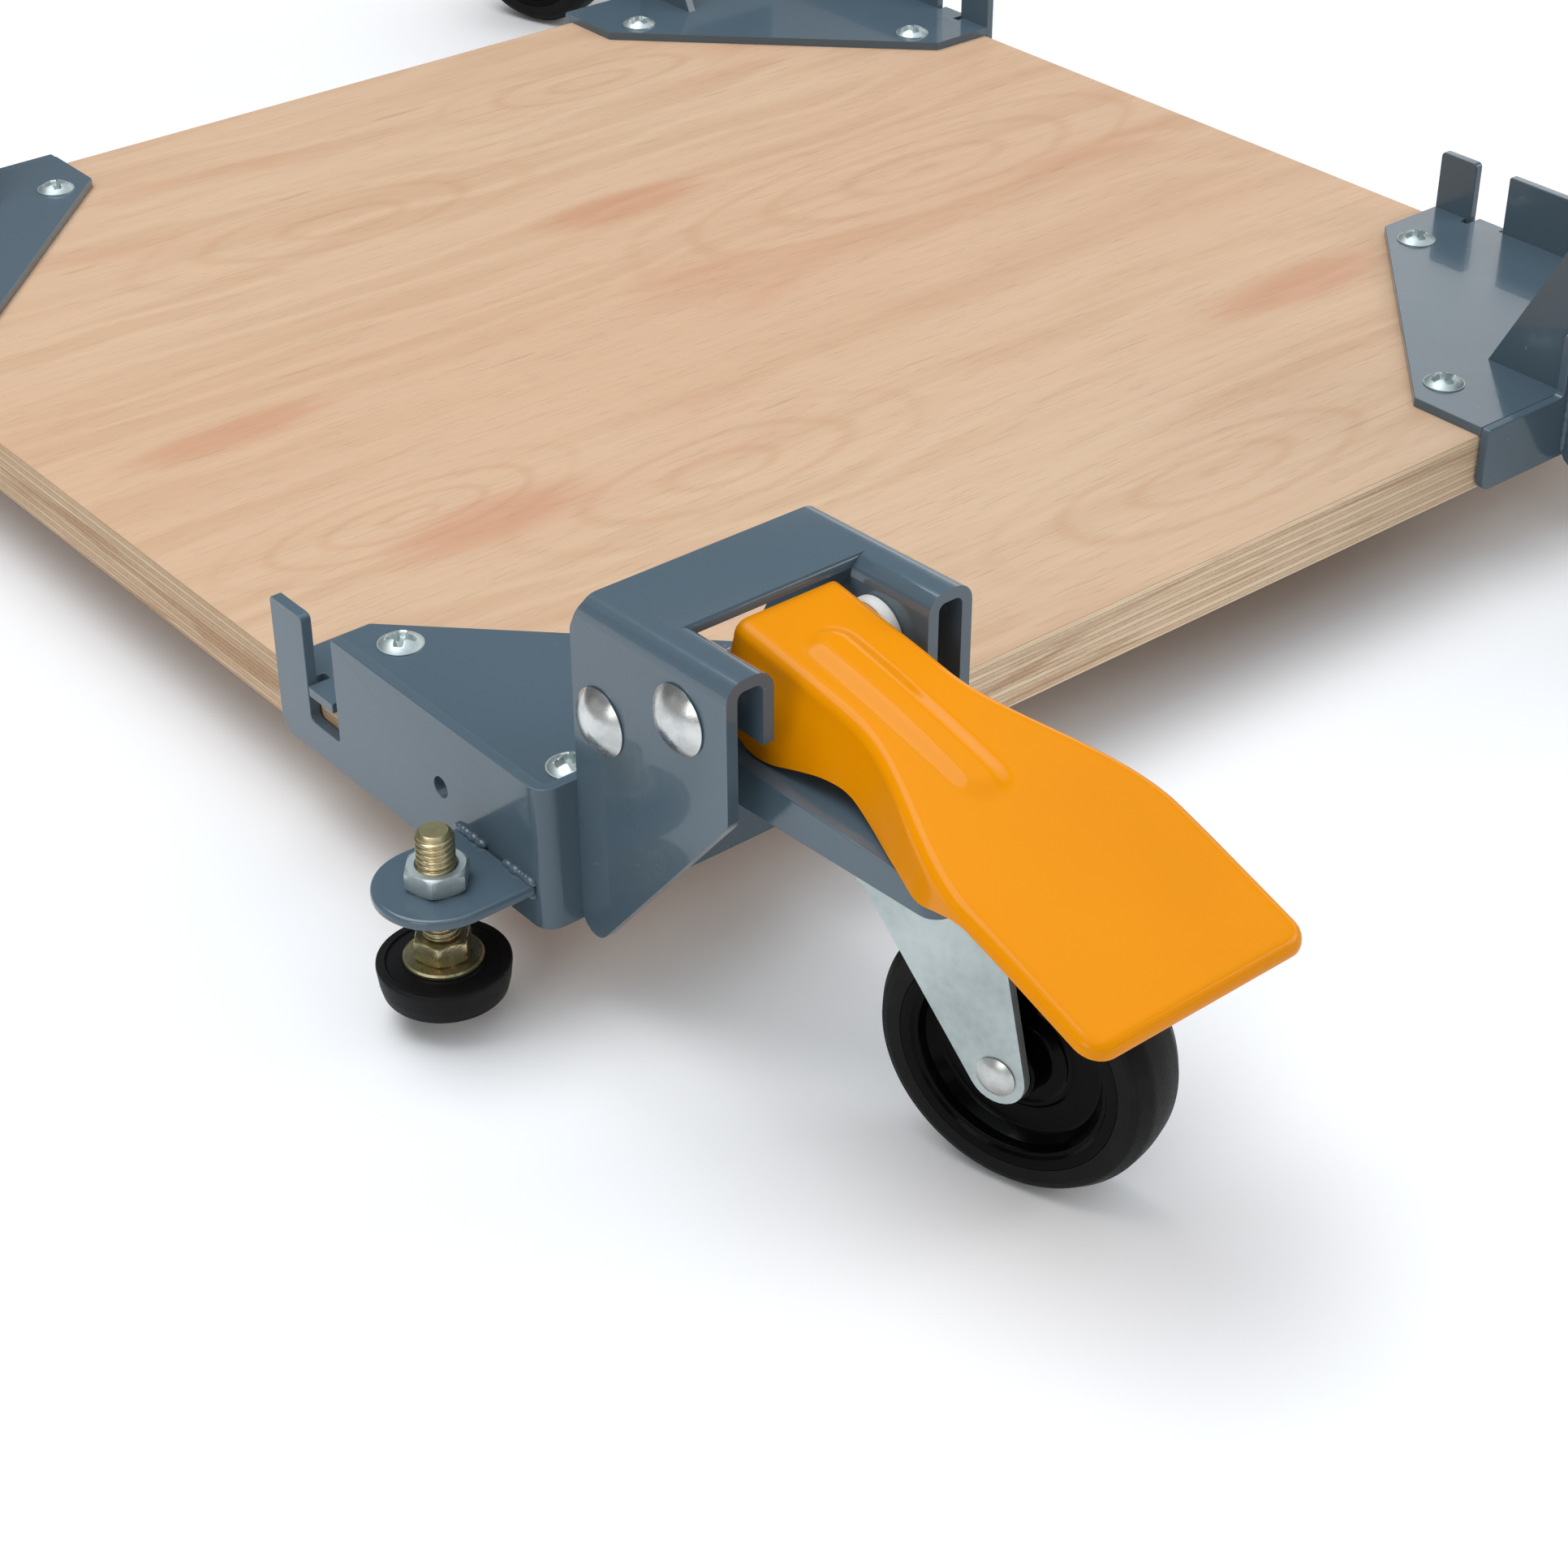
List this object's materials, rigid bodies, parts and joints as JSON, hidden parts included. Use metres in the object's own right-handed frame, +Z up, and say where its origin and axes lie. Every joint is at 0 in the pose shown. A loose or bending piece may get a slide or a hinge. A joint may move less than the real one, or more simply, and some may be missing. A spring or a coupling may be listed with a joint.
{
  "type": "mobile machine base",
  "caption": "Plywood platform on steel corner brackets with pedal-operated swivel casters and levelling feet, for rolling a heavy machine about a workshop.",
  "frame": {"origin": "on the floor, below the middle of the platform, with the wheels lowered", "axes": "+Z up, +Y and -Y towards the pedals, +X to the right of the front pedals"},
  "size_m": [0.5238, 0.783, 0.1185],
  "materials": {
    "plywood": "sanded, unvarnished",
    "blue_coat": "glossy powder coat",
    "orange_coat": "glossy powder coat",
    "zinc": "bright zinc plate",
    "yellow_zinc": "yellow zinc plate on steel",
    "nylon": "satin",
    "hub_plastic": "satin",
    "wheel_rubber": "satin",
    "pad_rubber": "satin"
  },
  "bodies": {
    "base": {"platform": "plywood", "wood_screws": "zinc", "pivot_bolts": "zinc", "pivot_nuts": "zinc", "lock_nuts": "zinc", "nylon_bushes": "nylon", "spacer_tubes": "zinc", "bracket_wall_front_left": "blue_coat", "bracket_wall_front_right": "blue_coat", "bracket_wall_rear_left": "blue_coat", "bracket_wall_rear_right": "blue_coat", "bracket_plate_front_left": "blue_coat", "bracket_plate_front_right": "blue_coat", "bracket_plate_rear_left": "blue_coat", "bracket_plate_rear_right": "blue_coat", "foot_bracket_front_left": "blue_coat", "foot_bracket_front_right": "blue_coat", "foot_bracket_rear_left": "blue_coat", "foot_bracket_rear_right": "blue_coat", "housing_front_left": "blue_coat", "housing_front_right": "blue_coat", "housing_rear_left": "blue_coat", "housing_rear_right": "blue_coat"},
    "pedal_front_left": {"pedal_front_left": "orange_coat"},
    "arm_front_left": {"arm_front_left": "blue_coat", "swivel_front_left": "zinc"},
    "caster_front_left": {"fork_front_left": "zinc", "axle_front_left": "zinc"},
    "wheel_front_left": {"hub_front_left": "hub_plastic", "tread_front_left": "wheel_rubber"},
    "foot_front_left": {"stud_front_left": "yellow_zinc", "pad_front_left": "pad_rubber"},
    "pedal_front_right": {"pedal_front_right": "orange_coat"},
    "arm_front_right": {"arm_front_right": "blue_coat", "swivel_front_right": "zinc"},
    "caster_front_right": {"fork_front_right": "zinc", "axle_front_right": "zinc"},
    "wheel_front_right": {"hub_front_right": "hub_plastic", "tread_front_right": "wheel_rubber"},
    "foot_front_right": {"stud_front_right": "yellow_zinc", "pad_front_right": "pad_rubber"},
    "pedal_rear_left": {"pedal_rear_left": "orange_coat"},
    "arm_rear_left": {"arm_rear_left": "blue_coat", "swivel_rear_left": "zinc"},
    "caster_rear_left": {"fork_rear_left": "zinc", "axle_rear_left": "zinc"},
    "wheel_rear_left": {"hub_rear_left": "hub_plastic", "tread_rear_left": "wheel_rubber"},
    "foot_rear_left": {"stud_rear_left": "yellow_zinc", "pad_rear_left": "pad_rubber"},
    "pedal_rear_right": {"pedal_rear_right": "orange_coat"},
    "arm_rear_right": {"arm_rear_right": "blue_coat", "swivel_rear_right": "zinc"},
    "caster_rear_right": {"fork_rear_right": "zinc", "axle_rear_right": "zinc"},
    "wheel_rear_right": {"hub_rear_right": "hub_plastic", "tread_rear_right": "wheel_rubber"},
    "foot_rear_right": {"stud_rear_right": "yellow_zinc", "pad_rear_right": "pad_rubber"}
  },
  "joints": [
    {"name": "pedal_lift_front_left", "type": "hinge", "parent": "base", "child": "pedal_front_left", "pos_m": [-0.183, -0.268, 0.1023], "axis": [1, 0, 0], "range_deg": [-36, 0]},
    {"name": "arm_lift_front_left", "type": "hinge", "parent": "base", "child": "arm_front_left", "pos_m": [-0.183, -0.239, 0.0873], "axis": [1, 0, 0], "range_deg": [-6, 0]},
    {"name": "swivel_turn_front_left", "type": "hinge", "parent": "arm_front_left", "child": "caster_front_left", "pos_m": [-0.183, -0.3155, 0.0753], "axis": [0, 0, 1], "continuous": true},
    {"name": "wheel_spin_front_left", "type": "hinge", "parent": "caster_front_left", "child": "wheel_front_left", "pos_m": [-0.17647, -0.33755, 0.035], "axis": [0.9588, 0.284, 0], "continuous": true},
    {"name": "foot_height_front_left", "type": "slide", "parent": "base", "child": "foot_front_left", "axis": [0, 0, 1], "range_m": [-0.006, 0.01]},
    {"name": "pedal_lift_front_right", "type": "hinge", "parent": "base", "child": "pedal_front_right", "pos_m": [0.183, -0.268, 0.1023], "axis": [1, 0, 0], "range_deg": [-36, 0]},
    {"name": "arm_lift_front_right", "type": "hinge", "parent": "base", "child": "arm_front_right", "pos_m": [0.183, -0.239, 0.0873], "axis": [1, 0, 0], "range_deg": [-6, 0]},
    {"name": "swivel_turn_front_right", "type": "hinge", "parent": "arm_front_right", "child": "caster_front_right", "pos_m": [0.183, -0.3155, 0.0753], "axis": [0, 0, 1], "continuous": true},
    {"name": "wheel_spin_front_right", "type": "hinge", "parent": "caster_front_right", "child": "wheel_front_right", "pos_m": [0.17647, -0.33755, 0.035], "axis": [-0.9588, 0.284, 0], "continuous": true},
    {"name": "foot_height_front_right", "type": "slide", "parent": "base", "child": "foot_front_right", "axis": [0, 0, 1], "range_m": [-0.006, 0.01]},
    {"name": "pedal_lift_rear_left", "type": "hinge", "parent": "base", "child": "pedal_rear_left", "pos_m": [-0.183, 0.268, 0.1023], "axis": [-1, 0, 0], "range_deg": [-36, 0]},
    {"name": "arm_lift_rear_left", "type": "hinge", "parent": "base", "child": "arm_rear_left", "pos_m": [-0.183, 0.239, 0.0873], "axis": [-1, 0, 0], "range_deg": [-6, 0]},
    {"name": "swivel_turn_rear_left", "type": "hinge", "parent": "arm_rear_left", "child": "caster_rear_left", "pos_m": [-0.183, 0.3155, 0.0753], "axis": [0, 0, 1], "continuous": true},
    {"name": "wheel_spin_rear_left", "type": "hinge", "parent": "caster_rear_left", "child": "wheel_rear_left", "pos_m": [-0.17647, 0.33755, 0.035], "axis": [0.9588, -0.284, 0], "continuous": true},
    {"name": "foot_height_rear_left", "type": "slide", "parent": "base", "child": "foot_rear_left", "axis": [0, 0, 1], "range_m": [-0.006, 0.01]},
    {"name": "pedal_lift_rear_right", "type": "hinge", "parent": "base", "child": "pedal_rear_right", "pos_m": [0.183, 0.268, 0.1023], "axis": [-1, 0, 0], "range_deg": [-36, 0]},
    {"name": "arm_lift_rear_right", "type": "hinge", "parent": "base", "child": "arm_rear_right", "pos_m": [0.183, 0.239, 0.0873], "axis": [-1, 0, 0], "range_deg": [-6, 0]},
    {"name": "swivel_turn_rear_right", "type": "hinge", "parent": "arm_rear_right", "child": "caster_rear_right", "pos_m": [0.183, 0.3155, 0.0753], "axis": [0, 0, 1], "continuous": true},
    {"name": "wheel_spin_rear_right", "type": "hinge", "parent": "caster_rear_right", "child": "wheel_rear_right", "pos_m": [0.17647, 0.33755, 0.035], "axis": [-0.9588, -0.284, 0], "continuous": true},
    {"name": "foot_height_rear_right", "type": "slide", "parent": "base", "child": "foot_rear_right", "axis": [0, 0, 1], "range_m": [-0.006, 0.01]}
  ],
  "couplings": [
    {"joint": "arm_lift_front_left", "follows": "pedal_lift_front_left", "ratio": 0.16667},
    {"joint": "arm_lift_front_right", "follows": "pedal_lift_front_right", "ratio": 0.16667},
    {"joint": "arm_lift_rear_left", "follows": "pedal_lift_rear_left", "ratio": 0.16667},
    {"joint": "arm_lift_rear_right", "follows": "pedal_lift_rear_right", "ratio": 0.16667}
  ]
}
